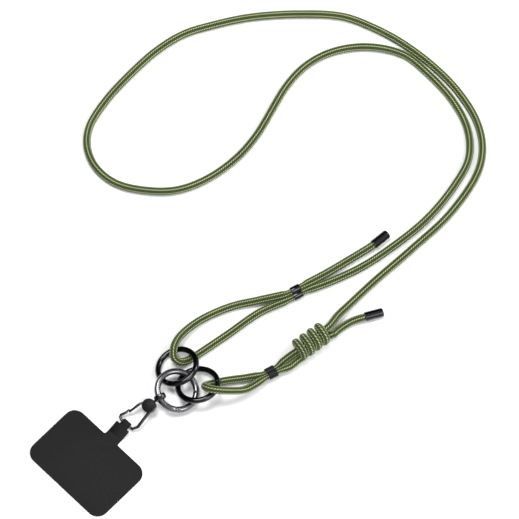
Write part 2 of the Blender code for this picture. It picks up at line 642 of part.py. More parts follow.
def build_hook_body(material):
    """The drum and, in one casting, the side arm, the bar and the nose."""
    place = hook_place()
    bar, way = bar_in_hook()
    gate_end = bar - way * BAR_HALF_LENGTH
    arm_end = bar + way * BAR_HALF_LENGTH
    path = [(-0.0020, -0.0030, 0.0010, 0.0009), (-0.0050, -0.0036, 0.0010, 0.0009),
            (-0.0090, -0.0045, 0.0010, 0.0009), (-0.0128, -0.0055, 0.0010, 0.0009),
            (arm_end.x + 0.0016, arm_end.y - 0.0003, 0.0009, 0.0009),
            (arm_end.x + 0.0002, arm_end.y + 0.0002, 0.0009, 0.0009),
            (arm_end.x - 0.00005, arm_end.y + 0.0014, BAR_RADIUS, BAR_RADIUS),
            (bar.x, bar.y, BAR_RADIUS, BAR_RADIUS),
            (gate_end.x + 0.0000, gate_end.y - 0.0012, BAR_RADIUS, BAR_RADIUS),
            (gate_end.x + 0.0004, gate_end.y + 0.0001, 0.0009, 0.0009),
            (gate_end.x + 0.0014, gate_end.y + 0.0010, 0.0009, 0.0009),
            (-0.0126, 0.0058, 0.0008, 0.0009), (-0.0112, 0.0061, 0.0005, 0.0009),
            (-0.0100, 0.0061, 0.00035, 0.0007)]
    body = cylinder("hook_body", DRUM_RADIUS, DRUM_BOTTOM, DRUM_RIM, material, place, 40)
    add_bevel(body, 0.0004, 2)
    combine(body, flat_bar("hook_frame", path, None, place), "UNION")
    combine(body, cylinder("drum_hollow", DRUM_INNER, DRUM_FLOOR, TALL, None, place, 40),
            "DIFFERENCE")
    combine(body, cylinder("pivot_hole", PIVOT_HOLE, -TALL, TALL, None, place, 20), "DIFFERENCE")
    post_way = place @ Matrix.Rotation(math.radians(90), 4, "Y")
    combine(body, cylinder("post_bore", POST_RADIUS + 0.00015, DRUM_INNER - 0.0010, 0.006, None,
                           post_way, 24), "DIFFERENCE")
    combine(body, sector("gate_slot", 0.0025, 0.0060, math.radians(98), math.radians(152),
                         GATE_SLOT_HALF, place), "DIFFERENCE")


def build_hook_gate(material):
    """The hook's trigger: a hub on the pivot pin and a straight arm to the nose."""
    place = hook_place()
    gate = cylinder("hook_gate", HUB_RADIUS, -HUB_HALF, HUB_HALF, material, place, 24)
    path = [(-0.0003, 0.0009, 0.0005, HUB_HALF), (-0.0008, 0.0025, 0.0005, HUB_HALF),
            (-0.0016, 0.0037, 0.0006, HUB_HALF), (-0.0028, 0.0044, 0.0007, 0.0006),
            (-0.0045, 0.00465, 0.0008, 0.0007), (-0.0080, 0.0048, 0.0008, 0.0007),
            (-0.0106, 0.00490, 0.0007, 0.0007), (-0.0114, 0.00490, 0.0005, 0.0005)]
    combine(gate, flat_bar("gate_arm", path, None, place), "UNION")
    combine(gate, cylinder("hub_hole", PIVOT_HOLE, -TALL, TALL, None, place, 20), "DIFFERENCE")


def build_hook_small_parts(cap_material, pin_material, spring_material):
    place = hook_place()
    cap = cylinder("hook_cap", CAP_RADIUS, CAP_BOTTOM, CAP_TOP, cap_material, place, 40)
    add_bevel(cap, 0.00025, 2)
    cylinder("hook_gate_pin", PIVOT_RADIUS, DRUM_BOTTOM, CAP_BOTTOM - GAP, pin_material, place, 20)
    spring_place = place @ Matrix.Translation((0, 0, HUB_HALF + GAP + SPRING_WIRE))
    coil("hook_gate_spring", HOOK_SPRING_RADIUS, SPRING_WIRE, 1.75, HOOK_SPRING_HEIGHT,
         spring_material, spring_place)


# ---------------------------------------------------------------- the tether tab
def build_tab(material):
    """A thin plate with a neck that bends up, folds round the hook's bar and is bonded."""
    along, across = tab_directions()
    plate_turn = Matrix((along, -across, Vector((0, 0, 1)))).transposed().to_4x4()
    half_long = TAB_LENGTH / 2
    half_short = TAB_WIDTH / 2
    inner_long = half_long - TAB_CORNER
    inner_short = half_short - TAB_CORNER
    half_neck = NECK_WIDTH / 2
    fillet = NECK_FILLET
    outline = arc_points((inner_short, -inner_long), TAB_CORNER, -90, 0, 8)
    outline += arc_points((half_short + fillet, -half_neck - fillet), fillet, 180, 90, 4)
    outline += [(NECK_FLAT_END, -half_neck), (NECK_FLAT_END, half_neck)]
    outline += arc_points((half_short + fillet, half_neck + fillet), fillet, -90, -180, 4)
    for middle_x, middle_y, start in ((inner_short, inner_long, 0),
                                      (-inner_short, inner_long, 90),
                                      (-inner_short, -inner_long, 180)):
        outline += arc_points((middle_x, middle_y), TAB_CORNER, start, start + 90, 8)
    tab = prism("tether_tab", outline, 0, TAB_THICKNESS, material, plate_turn)
    # the neck: a strip from the flat part to the fold's top
    strip_radius = FOLD_RADIUS - TAB_THICKNESS / 2
    reach = Vector((BAR_DISTANCE - NECK_FLAT_END, BAR_HEIGHT - TAB_THICKNESS / 2))
    rise = math.atan2(reach.y, reach.x) + math.asin(strip_radius / reach.length)
    shoulder = BAR_DISTANCE - NECK_SETBACK
    low = (NECK_FLAT_END - 0.0012, TAB_THICKNESS / 2)
    bend = (NECK_FLAT_END + 0.0002, TAB_THICKNESS / 2 + 0.0001)
    top = (shoulder, bend[1] + (shoulder - bend[0]) * math.tan(rise))
    thick = TAB_THICKNESS / 2 - 0.00002
    outline = [(low[0], low[1] - thick), (bend[0], bend[1] - thick), (top[0], top[1] - thick),
               (top[0], top[1] + thick), (bend[0], bend[1] + thick), (low[0], low[1] + thick)]
    stand = plate_turn @ Matrix.Rotation(math.radians(90), 4, "X")
    neck = prism("neck_strip", outline, -half_neck + 0.00002, half_neck - 0.00002, None, stand)
    combine(tab, neck, "UNION")
    # the fold: both laps and the eye between them, bonded into one piece
    centre = (BAR_DISTANCE, BAR_HEIGHT)
    tail = (NECK_FLAT_END + FOLD_TAIL, bend[1] + 0.0028 * math.tan(rise))
    outline = arc_points(centre, FOLD_RADIUS, -90, 90 + math.degrees(rise), 20) + [tail]
    fold = prism("neck_fold", outline, -TONGUE_WIDTH / 2, TONGUE_WIDTH / 2, None, stand)
    combine(tab, fold, "UNION")
    _, way = bar_in_hook()
    bore_place = upright_along(bar_middle(), hook_place().to_3x3() @ way)
    combine(tab, cylinder("fold_bore", FOLD_BORE, -2 * TALL, 2 * TALL, None, bore_place, 24),
            "DIFFERENCE")


def main():
    clear_scene()
    cord = make_material("braided_cord", (0.16, 0.22, 0.07), 0.85, 0.0)
    ring_metal = make_material("black_nickel", (0.03, 0.03, 0.035), 0.18, 1.0)
    gunmetal = make_material("gunmetal", (0.16, 0.16, 0.17), 0.25, 1.0)
    steel = make_material("spring_steel", (0.45, 0.45, 0.46), 0.3, 1.0)
    tab_black = make_material("tab_black", (0.03, 0.03, 0.03), 0.7, 0.0)
    cap_black = make_material("cap_black", (0.02, 0.02, 0.02), 0.5, 0.0)
    build_tab(tab_black)
    build_hook_body(gunmetal)
    build_hook_gate(gunmetal)
    build_hook_small_parts(cap_black, steel, steel)
    build_swivel_eye(gunmetal)
    build_carabiner_body(gunmetal)
    build_carabiner_gate(gunmetal)
    build_carabiner_small_parts(gunmetal, steel)
    build_ring("ring_upper", UPPER_RING_PLACE, ring_metal)
    build_ring("ring_lower", LOWER_RING_PLACE, ring_metal)
    build_cord(cord)
    build_knot(cord)
    build_bead("bead_upper", UPPER_BEAD_PLACE, ring_metal)
    build_bead("bead_lower", LOWER_BEAD_PLACE, ring_metal)
    build_end_cap("end_cap_upper", UPPER_CAP_PLACE, ring_metal)
    build_end_cap("end_cap_lower", LOWER_CAP_PLACE, ring_metal)


main()
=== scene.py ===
"""Looks for the crossbody phone lanyard: braided cord, rings, carabiner, snap hook and tab."""
import math

import bmesh
import bpy
from mathutils import Matrix, Vector


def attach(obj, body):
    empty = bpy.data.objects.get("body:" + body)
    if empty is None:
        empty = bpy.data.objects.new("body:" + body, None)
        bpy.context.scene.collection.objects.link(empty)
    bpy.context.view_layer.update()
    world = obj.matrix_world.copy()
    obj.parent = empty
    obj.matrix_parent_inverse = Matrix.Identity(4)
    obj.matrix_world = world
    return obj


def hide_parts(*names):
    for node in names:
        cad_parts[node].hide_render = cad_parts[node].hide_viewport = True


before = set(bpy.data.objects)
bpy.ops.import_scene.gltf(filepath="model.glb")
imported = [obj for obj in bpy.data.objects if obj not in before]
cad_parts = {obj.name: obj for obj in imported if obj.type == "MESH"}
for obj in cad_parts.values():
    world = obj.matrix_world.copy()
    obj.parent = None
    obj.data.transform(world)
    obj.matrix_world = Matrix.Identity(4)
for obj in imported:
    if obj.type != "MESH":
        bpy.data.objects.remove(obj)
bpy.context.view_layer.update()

# ---------------------------------------------------------------- dimensions, in metres
CORD_RADIUS = 0.0023
CORD_IN_BEAD = 0.0017           # the cord is squeezed inside a bead
CORD_IN_CAP = 0.0020
FLOOR_HEIGHT = 0.0024           # the cord's middle where it lies on the ground
SQUEEZE_HALF = 0.0050           # squeezed this far from a bead's middle
SQUEEZE_FADE = 0.0045           # and round again this much further on
BRAID_COLUMNS = 12              # rows of stitches round the cord
BRAID_PITCH = 0.00150           # one stitch along the cord
BRAID_SIDES = 3                 # vertices across one row
BRAID_RELIEF = 0.00014          # how far a stitch stands out of the cord

KNOT_CENTRE = Vector((0.1321, 0.07385, 0.0071))
KNOT_ANGLE = math.radians(37.2)
WRAP_RADIUS = 0.00475           # from the knot's axis to the middle of a wrap
WRAP_FIRST = (0.0, -0.0101)     # angle and place along the axis where the wraps start
WRAP_LAST = (math.radians(1365), 0.0104)
WRAP_LEAN = 0.75                # the wraps advance on their underside, and lie square on top
WRAP_SWELL = 0.00055            # a wrap is pressed flat and so looks thicker
WRAP_FADE = 0.002               # the swelling fades out towards the knot's ends
KNOT_REACH = 0.014              # everything this near the knot's middle belongs to it
WRAP_STEPS = 16                 # points in each turn

# middle of a bead, the strands' direction from +X, and how the two strands are stacked
UPPER_BEAD_PLACE = (Vector((0.1228, 0.1054, 0.0036)), math.radians(29.5), math.radians(-33))
LOWER_BEAD_PLACE = (Vector((0.1079, 0.0551, 0.0036)), math.radians(29.0), math.radians(33))
BEAD_LENGTH = 0.0056
BEAD_SPACING = 0.00185
BEAD_OUTER = 0.00245
BEAD_CHANNEL = 0.0020
# mouth of an end cap and the direction in which it points
UPPER_CAP_PLACE = (Vector((0.1682, 0.1356, 0.0028)), math.radians(40.6))
LOWER_CAP_PLACE = (Vector((0.1629, 0.0901, 0.0028)), math.radians(15.9))
CAP_LENGTH = 0.0113
CAP_OUTER = 0.00275
CAP_BORE = 0.0023
CAP_BORE_DEPTH = 0.0060
CAP_SQUEEZE = 0.0056            # the cord is squeezed this far from each of its ends
CAP_FADE = 0.0012
CAP_ROUNDING = 0.0010
CAP_LIP = 0.00022
DIMPLE_RADIUS = 0.0009
DIMPLE_DEPTH = 0.00042

RING_RADIUS = 0.01175           # to the middle of the wire
RING_WIRE = 0.00175             # wire radius
RING_SEAM_DEPTH = 0.00012
# centre, then the plane's rise along X and along Y
UPPER_RING_PLACE = (Vector((0.0528, 0.0579, 0.00604)), 0.325, -0.210)
LOWER_RING_PLACE = (Vector((0.0649, 0.0464, 0.00627)), 0.166, -0.336)

# ---------------------------------------------------------------- the cord's route, in metres
UPPER_CAP_ROUTE = [
    (0.1724, 0.1392, 0.0028), (0.1682, 0.1356, 0.0028), (0.1538, 0.1262, 0.0025),
    (0.1399, 0.1173, 0.0030), (0.1264, 0.1092, 0.0046), (0.1220, 0.1068, 0.0046),
    (0.1177, 0.1043, 0.0046), (0.1020, 0.1008, 0.0031), (0.0840, 0.0966, 0.0025),
    (0.0665, 0.0882, 0.0028), (0.0562, 0.0790, 0.0054)]
UPPER_RING_ROUTE = [
    (0.0520, 0.0724, 0.0078), (0.0506, 0.0672, 0.0083), (0.0511, 0.0633, 0.0064),
    (0.0543, 0.0616, 0.0042), (0.0583, 0.0626, 0.0028), (0.0630, 0.0655, 0.0024),
    (0.0705, 0.0707, 0.0024), (0.0830, 0.0797, 0.0024), (0.1010, 0.0930, 0.0024),
    (0.1192, 0.1016, 0.0026), (0.1236, 0.1041, 0.0026), (0.1279, 0.1065, 0.0026),
    (0.1420, 0.1122, 0.0024)]
NECK_ROUTE = [
    (0.1605, 0.1213), (0.1780, 0.1333), (0.1999, 0.1521), (0.2164, 0.1732), (0.2252, 0.1908),
    (0.2249, 0.2091), (0.2164, 0.2278), (0.2010, 0.2463), (0.1871, 0.2580), (0.1664, 0.2630),
    (0.1457, 0.2602), (0.1301, 0.2519), (0.1180, 0.2389), (0.0990, 0.2055), (0.0869, 0.1907),
    (0.0697, 0.1777), (0.0524, 0.1708), (0.0351, 0.1703), (0.0161, 0.1749), (0.0040, 0.1851),
    (-0.0014, 0.1981), (-0.0003, 0.2110), (0.0092, 0.2278), (0.0248, 0.2463), (0.0403, 0.2612),
    (0.0559, 0.2714), (0.0731, 0.2772), (0.0956, 0.2823), (0.1240, 0.2844), (0.1509, 0.2828),
    (0.1699, 0.2752), (0.1871, 0.2650), (0.2061, 0.2492), (0.2199, 0.2334), (0.2303, 0.2148),
    (0.2335, 0.1981), (0.2303, 0.1815), (0.2137, 0.1556), (0.1917, 0.1338), (0.1681, 0.1121)]
KNOT_ENTRY_ROUTE = [
    (0.1540, 0.0980, 0.0027), (0.1470, 0.0903, 0.0046), (0.1441, 0.0857, 0.0064),
    (0.1418, 0.0824, 0.0074)]
STANDING_ROUTE = [
    (0.1222, 0.0664, 0.0071), (0.1203, 0.0655, 0.0060), (0.1145, 0.0616, 0.0037),
    (0.1110, 0.0587, 0.0026), (0.1072, 0.0565, 0.0026), (0.1033, 0.0543, 0.0026),
    (0.0929, 0.0521, 0.0024), (0.0830, 0.0507, 0.0024), (0.0768, 0.0495, 0.0024),
    (0.0742, 0.0487, 0.0024)]
LOWER_RING_ROUTE = [
    (0.0714, 0.0476, 0.0035), (0.0694, 0.0456, 0.0070), (0.0697, 0.0430, 0.0114),
    (0.0730, 0.0408, 0.0142), (0.0772, 0.0401, 0.0144)]
RETURN_ROUTE = [
    (0.0850, 0.0408, 0.0115), (0.0930, 0.0434, 0.0070), (0.1048, 0.0516, 0.0046),
    (0.1087, 0.0537, 0.0046), (0.1125, 0.0559, 0.0046), (0.1188, 0.0587, 0.0040),
    (0.1222, 0.0614, 0.0043), (0.1245, 0.0632, 0.0046)]
TAIL_ROUTE = [
    (0.1441, 0.0787, 0.0040), (0.1462, 0.0810, 0.0028), (0.1505, 0.0846, 0.0024),
    (0.1560, 0.0878, 0.0025), (0.1629, 0.0901, 0.0028), (0.1684, 0.0917, 0.0028)]


# ---------------------------------------------------------------- camera
def make_camera():
    """Looks down at the lanyard from 68.7 degrees above the floor, through a very long lens."""
    target = Vector((0.1010, 0.1265, FLOOR_HEIGHT))
    elevation = math.radians(68.7)
    distance = 3.5
    seen_width = 0.3062
    data = bpy.data.cameras.new("camera")
    data.sensor_width = 36.0
    data.lens = data.sensor_width * distance / seen_width
    data.clip_end = 20.0
    camera = bpy.data.objects.new("camera", data)
    bpy.context.scene.collection.objects.link(camera)
    camera.location = target + Vector((0, -math.cos(elevation), math.sin(elevation))) * distance
    camera.rotation_euler = (math.pi / 2 - elevation, 0, 0)
    bpy.context.scene.camera = camera


# ---------------------------------------------------------------- helpers
def add_piece(name, mesh, material, place=None, sharp=math.radians(40)):
    if place:
        mesh.transform(place)
    mesh.shade_smooth()
    mesh.set_sharp_from_angle(angle=sharp)
    piece = bpy.data.objects.new(name, mesh)
    bpy.context.scene.collection.objects.link(piece)
    mesh.materials.clear()
    mesh.materials.append(material)
    return piece


def finish_shape(name, shape, material, place=None, sharp=math.radians(40)):
    bmesh.ops.recalc_face_normals(shape, faces=shape.faces)
    mesh = bpy.data.meshes.new(name)
    shape.to_mesh(mesh)
    shape.free()
    return add_piece(name, mesh, material, place, sharp)


def heading(angle):
    return Vector((math.cos(angle), math.sin(angle), 0))


def frame_matrix(origin, x_axis, z_axis):
    x_axis = x_axis.normalized()
    y_axis = z_axis.cross(x_axis).normalized()
    z_axis = x_axis.cross(y_axis)
    return Matrix.Translation(origin) @ Matrix((x_axis, y_axis, z_axis)).transposed().to_4x4()


def sloped_place(place):
    """The frame of a ring: x axis over world +X, z axis along the ring's axis."""
    centre, slope_x, slope_y = place
    return frame_matrix(centre, Vector((1, 0, slope_x)), Vector((-slope_x, -slope_y, 1)))


def upright_along(origin, z_axis):
    return Matrix.Translation(origin) @ z_axis.to_track_quat("Z", "Y").to_matrix().to_4x4()


def arc_points(centre, radius, start, end, steps):
    angles = [math.radians(start + (end - start) * k / steps) for k in range(steps + 1)]
    return [(centre[0] + radius * math.cos(a), centre[1] + radius * math.sin(a)) for a in angles]


def skin_rings(shape, rings, closed=False):
    """Join neighbouring rings of vertices with four-sided faces."""
    pairs = list(zip(rings, rings[1:]))
    if closed:
        pairs.append((rings[-1], rings[0]))
    for near, far in pairs:
        for k in range(len(near)):
            n = (k + 1) % len(near)
            shape.faces.new((near[k], near[n], far[n], far[k]))


# ---------------------------------------------------------------- materials
class Nodes:
    """A short way to write a material's node tree."""

    def __init__(self, name):
        self.material = bpy.data.materials.new(name)
        self.material.use_nodes = True
        self.tree = self.material.node_tree
        self.shader = self.tree.nodes["Principled BSDF"]

    def link(self, source, target):
        self.tree.links.new(source, target)

    def feed(self, socket, value):
        if isinstance(value, bpy.types.NodeSocket):
            self.link(value, socket)
        else:
            socket.default_value = value

    def maths(self, operation, first, second=None, third=None):
        node = self.tree.nodes.new("ShaderNodeMath")
        node.operation = operation
        for slot, value in enumerate((first, second, third)):
            if value is not None:
                self.feed(node.inputs[slot], value)
        return node.outputs[0]

    def noise(self, vector, scale, detail=3.0):
        node = self.tree.nodes.new("ShaderNodeTexNoise")
        node.inputs["Scale"].default_value = scale
        node.inputs["Detail"].default_value = detail
        self.link(vector, node.inputs["Vector"])
        return node.outputs["Fac"]

    def ramp(self, factor, *stops):
        """A colour ramp: stops are (place, colour)."""
        node = self.tree.nodes.new("ShaderNodeValToRGB")
        elements = node.color_ramp.elements
        while len(elements) < len(stops):
            elements.new(0.5)
        for element, (place, colour) in zip(elements, stops):
            element.position = place
            element.color = (*colour, 1.0)
        self.link(factor, node.inputs["Fac"])
        return node.outputs["Color"]

    def grey_ramp(self, factor, *stops):
        return self.ramp(factor, *((place, (value,) * 3) for place, value in stops))

    def mix(self, factor, first, second):
        node = self.tree.nodes.new("ShaderNodeMix")
        node.data_type = "RGBA"
        self.feed(node.inputs["Factor"], factor)
        self.feed(node.inputs["A"], first)
        self.feed(node.inputs["B"], second)
        return node.outputs["Result"]

    def hump(self, value, power):
        """One in the middle of a cell, falling to nothing at its two edges (+-0.5)."""
        from_middle = self.maths("MULTIPLY", self.maths("ABSOLUTE", value), 2.0)
        return self.maths("SUBTRACT", 1.0, self.maths("POWER", from_middle, power))

    def place(self):
        """Where the point is on the object, in metres."""
        return self.tree.nodes.new("ShaderNodeTexCoord").outputs["Object"]

    def bump(self, height, distance, strength):
        node = self.tree.nodes.new("ShaderNodeBump")
        node.inputs["Distance"].default_value = distance
        node.inputs["Strength"].default_value = strength
        self.link(height, node.inputs["Height"])
        return node.outputs["Normal"]

    def set(self, **values):
        for name, value in values.items():
            self.feed(self.shader.inputs[name.replace("_", " ")], value)


def cord_material():
    """A braid of pale and deep olive rows, drawn in the cord's own coordinates; its colour
    carries painted shade in the stitches' gaps and on the deep rows, and painted light on the
    crowns.
    """
    n = Nodes("olive_braid")
    uv = n.tree.nodes.new("ShaderNodeUVMap")
    uv.uv_map = "braid"
    split = n.tree.nodes.new("ShaderNodeSeparateXYZ")
    n.link(uv.outputs["UV"], split.inputs["Vector"])
    along = split.outputs["X"]
    around = split.outputs["Y"]
    column = n.maths("FLOOR", around)
    side = n.maths("SUBTRACT", n.maths("FRACT", around), 0.5)
    parity = n.maths("PINGPONG", column, 1.0)
    lean = n.maths("MULTIPLY_ADD", parity, -2.0, 1.0)
    slant = n.maths("MULTIPLY", n.maths("MULTIPLY", side, lean), 0.95)
    phase = n.maths("ADD", along, n.maths("MULTIPLY_ADD", parity, 0.5, slant))
    across = n.maths("SUBTRACT", n.maths("FRACT", phase), 0.5)
    crown = n.maths("MULTIPLY", n.hump(side, 2.0), n.hump(across, 1.6))
    # fine filaments that run along each slanted stitch
    fan = n.maths("MULTIPLY_ADD", side, 0.4, across)
    filament = n.maths("SINE", n.maths("MULTIPLY", fan, 44.0))
    # rows of pale stitches, with painted shade in their gaps and painted light on their crowns,
    # stand between sunk rows given a deeper green as painted shade
    pale = n.ramp(crown, (0.10, (0.010, 0.014, 0.003)), (0.36, (0.085, 0.120, 0.027)),
                  (0.62, (0.260, 0.325, 0.115)), (0.90, (0.56, 0.63, 0.33)))
    # painted shade: the sunk rows between the pale ones are coloured a much deeper green
    row_gap_shade = n.ramp(crown, (0.10, (0.006, 0.009, 0.002)), (0.50, (0.022, 0.034, 0.006)),
                  (0.95, (0.060, 0.088, 0.018)))
    colour = n.mix(parity, pale, row_gap_shade)
    blotch = n.noise(n.place(), 45.0, 2.0)
    shade = n.grey_ramp(blotch, (0.35, 0.84), (0.65, 1.0))
    tint = n.tree.nodes.new("ShaderNodeMix")
    tint.data_type = "RGBA"
    tint.blend_type = "MULTIPLY"
    tint.inputs["Factor"].default_value = 1.0
    n.link(colour, tint.inputs["A"])
    n.link(shade, tint.inputs["B"])
    height = n.maths("MULTIPLY_ADD", filament, 0.05, crown)
    n.set(Base_Color=tint.outputs["Result"], Roughness=0.72, Specular_IOR_Level=0.35,
          Normal=n.bump(height, 0.00022, 0.8))
    n.shader.inputs["Sheen Weight"].default_value = 0.25
    n.shader.inputs["Sheen Roughness"].default_value = 0.5
    n.shader.inputs["Sheen Tint"].default_value = (0.75, 0.85, 0.5, 1.0)
    return n.material


def metal_material(name, colour, rough_low, rough_high, coat, wear):
    """Plated metal: faint polishing scratches, uneven gloss and paler rubbed patches."""
    n = Nodes(name)
    place = n.place()
    smudge = n.noise(place, 260.0, 4.0)
    fine = n.noise(place, 2600.0, 2.0)
    rubbed = n.grey_ramp(n.noise(place, 420.0, 3.0), (0.56, 0.0), (0.80, 1.0))
    pale = tuple(min(1.0, c * 2.4 + 0.02) for c in colour)
    tone = n.mix(n.maths("MULTIPLY", rubbed, wear), (*colour, 1.0), (*pale, 1.0))
    rough = n.maths("MULTIPLY_ADD", n.maths("ADD", smudge, n.maths("MULTIPLY", fine, 0.4)),
                    rough_high - rough_low, rough_low)
    n.set(Base_Color=tone, Metallic=1.0, Roughness=rough, Normal=n.bump(fine, 0.00001, 0.25))
    n.shader.inputs["Coat Weight"].default_value = coat
    n.shader.inputs["Coat Roughness"].default_value = 0.08
    return n.material


def paint_material():
    """The drum cap: satin black paint with a fine orange-peel."""
    n = Nodes("satin_black_paint")
    place = n.place()
    peel = n.noise(place, 1500.0, 2.0)
    rough = n.grey_ramp(n.noise(place, 350.0, 3.0), (0.3, 0.42), (0.7, 0.56))
    tone = n.ramp(peel, (0.3, (0.005, 0.005, 0.005)), (0.7, (0.008, 0.008, 0.008)))
    n.set(Base_Color=tone, Roughness=rough, Specular_IOR_Level=0.12,
          Normal=n.bump(peel, 0.00003, 0.3))
    return n.material


def tab_material():
    """Matte black coated fabric: a fine plain weave under a soft rubber coat."""
    n = Nodes("matte_black_tab")
    place = n.place()
    turn = n.tree.nodes.new("ShaderNodeMapping")
    turn.inputs["Rotation"].default_value = (0, 0, math.radians(-45.6))
    n.link(place, turn.inputs["Vector"])
    split = n.tree.nodes.new("ShaderNodeSeparateXYZ")
    n.link(turn.outputs["Vector"], split.inputs["Vector"])
    threads = 2 * math.pi / 0.00045
    warp = n.maths("SINE", n.maths("MULTIPLY", split.outputs["X"], threads))
    weft = n.maths("SINE", n.maths("MULTIPLY", split.outputs["Y"], threads))
    weave = n.maths("MULTIPLY", warp, weft)
    cloud = n.noise(place, 70.0, 4.0)
    tone = n.ramp(cloud, (0.3, (0.007, 0.007, 0.0075)), (0.7, (0.010, 0.010, 0.0105)))
    rough = n.grey_ramp(cloud, (0.3, 0.62), (0.7, 0.74))
    grain = n.maths("MULTIPLY_ADD", weave, 0.5, n.noise(place, 4000.0, 2.0))
    n.set(Base_Color=tone, Roughness=rough, Specular_IOR_Level=0.15,
          Normal=n.bump(grain, 0.00003, 0.35))
    return n.material


def floor_material():
    n = Nodes("studio_white")
    n.set(Base_Color=(0.93, 0.93, 0.93, 1.0), Roughness=0.9, Specular_IOR_Level=0.1)
    return n.material


# ---------------------------------------------------------------- the cord
def with_height(points):
    return [Vector(point) if len(point) == 3 else Vector((*point, FLOOR_HEIGHT))
            for point in points]


def smooth_curve(points, spacing=0.0002):
    """Read a centripetal Catmull-Rom curve through the points at even, fine steps."""
    points = [2 * points[0] - points[1]] + points + [2 * points[-1] - points[-2]]
    dense = []
    for p0, p1, p2, p3 in zip(points, points[1:], points[2:], points[3:]):
        t0 = 0.0
        t1 = t0 + math.sqrt((p1 - p0).length)
        t2 = t1 + math.sqrt((p2 - p1).length)
        t3 = t2 + math.sqrt((p3 - p2).length)
        count = max(2, int((p2 - p1).length / spacing))
        for k in range(count):
            t = t1 + (t2 - t1) * k / count
            a1 = p0 * ((t1 - t) / (t1 - t0)) + p1 * ((t - t0) / (t1 - t0))
            a2 = p1 * ((t2 - t) / (t2 - t1)) + p2 * ((t - t1) / (t2 - t1))
            a3 = p2 * ((t3 - t) / (t3 - t2)) + p3 * ((t - t2) / (t3 - t2))
            b1 = a1 * ((t2 - t) / (t2 - t0)) + a2 * ((t - t0) / (t2 - t0))
            b2 = a2 * ((t3 - t) / (t3 - t1)) + a3 * ((t - t1) / (t3 - t1))
            dense.append(b1 * ((t2 - t) / (t2 - t1)) + b2 * ((t - t1) / (t2 - t1)))
    dense.append(points[-2])
    return dense


def wrap_route():
    """The knot's wraps: a helix round the knot's axis."""
    axis = heading(KNOT_ANGLE)
    right = Vector((axis.y, -axis.x, 0))
    up = Vector((0, 0, 1))
    turn = WRAP_LAST[0] - WRAP_FIRST[0]
    count = round(WRAP_STEPS * turn / math.tau)
    points = []
    for k in range(count + 1):
        share = k / count
        angle = WRAP_FIRST[0] + turn * share
        square = WRAP_LEAN * (math.cos(angle) - 1) / turn
        place = WRAP_FIRST[1] + (WRAP_LAST[1] - WRAP_FIRST[1]) * (share + square)
        out = right * math.cos(angle) + up * math.sin(angle)
        points.append(KNOT_CENTRE + axis * place + out * WRAP_RADIUS)
    return points


def cord_radius(point, travelled, total):
    """The cord's radius: smaller inside the beads and the end caps."""
    radius = CORD_RADIUS
    offset = point - KNOT_CENTRE
    place = abs(offset.dot(heading(KNOT_ANGLE)))
    if offset.length < KNOT_REACH and place < WRAP_LAST[1]:
        above = max(0.0, min(1.0, 0.6 + offset.z / WRAP_RADIUS))
        radius += WRAP_SWELL * above * min(1.0, (WRAP_LAST[1] - place) / WRAP_FADE)
    for middle, _, _ in (UPPER_BEAD_PLACE, LOWER_BEAD_PLACE):
        far = (point - middle).length - SQUEEZE_HALF
        share = min(max(far / SQUEEZE_FADE, 0.0), 1.0)
        share = share * share * (3 - 2 * share)
        radius = min(radius, CORD_IN_BEAD + (CORD_RADIUS - CORD_IN_BEAD) * share)
    from_end = min(travelled, total - travelled)
    share = min(max((from_end - CAP_SQUEEZE) / CAP_FADE, 0.0), 1.0)
    return min(radius, CORD_IN_CAP + (CORD_RADIUS - CORD_IN_CAP) * share)


def even_points(dense, step):
    """Points a fixed distance apart along a dense line."""
    points = [dense[0]]
    left = step
    for before, here in zip(dense, dense[1:]):
        length = (here - before).length
        while length >= left > 0:
            before = before.lerp(here, left / length)
            points.append(before)
            length = (here - before).length
            left = step
        left -= length
    return points


def build_cord(material):
    """One continuous tube whose braid stands out of it stitch by stitch."""
    core = with_height(UPPER_CAP_ROUTE + UPPER_RING_ROUTE + NECK_ROUTE + KNOT_ENTRY_ROUTE)
    loop = with_height(STANDING_ROUTE + LOWER_RING_ROUTE + RETURN_ROUTE)
    route = core + loop + wrap_route() + with_height(TAIL_ROUTE)
    step = BRAID_PITCH / 2
    path = even_points(smooth_curve(route), step)
    total = step * (len(path) - 1)
    sides = BRAID_COLUMNS * BRAID_SIDES
    shape = bmesh.new()
    uv = shape.loops.layers.uv.new("braid")
    tangent = (path[1] - path[0]).normalized()
    normal = tangent.orthogonal().normalized()
    rings = []
    for k, point in enumerate(path):
        ahead = path[min(k + 1, len(path) - 1)] - path[max(k - 1, 0)]
        turned = tangent.rotation_difference(ahead)
        normal = (turned @ normal).normalized()
        tangent = ahead.normalized()
        normal = (normal - tangent * normal.dot(tangent)).normalized()
        side_way = tangent.cross(normal)
        radius = cord_radius(point, k * step, total)
        ring = []
        for j in range(sides):
            angle = math.tau * (j + 0.5) / sides
            column = j // BRAID_SIDES
            crest = j % BRAID_SIDES == 1
            stitch = 1.0 if (k + column) % 2 == 0 else 0.0
            row_height = 1.0 if column % 2 == 0 else 0.2
            lift = BRAID_RELIEF * ((0.35 + 0.65 * stitch) * row_height if crest else -0.55)
            out = normal * math.cos(angle) + side_way * math.sin(angle)
            ring.append(shape.verts.new(point + out * (radius + lift)))
        rings.append(ring)
    for k, (near, far) in enumerate(zip(rings, rings[1:])):
        for j in range(sides):
            n = (j + 1) % sides
            face = shape.faces.new((near[j], near[n], far[n], far[j]))
            face.smooth = True
            low = (j + 0.5) / BRAID_SIDES
            high = (j + 1.5) / BRAID_SIDES
            corners = ((k, low), (k, high), (k + 1, high), (k + 1, low))
            for loop_corner, (ring_index, around) in zip(face.loops, corners):
                loop_corner[uv].uv = (ring_index / 2, around)
    shape.faces.new(list(reversed(rings[0])))
    shape.faces.new(rings[-1])
    mesh = bpy.data.meshes.new("braided_cord")
    shape.to_mesh(mesh)
    shape.free()
    cord = add_piece("braided_cord", mesh, material, sharp=math.radians(80))
    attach(cord, "cord")
    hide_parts("cord_main", "cord_lower_loop", "cord_tail", "adjuster_knot")
    return cord, path


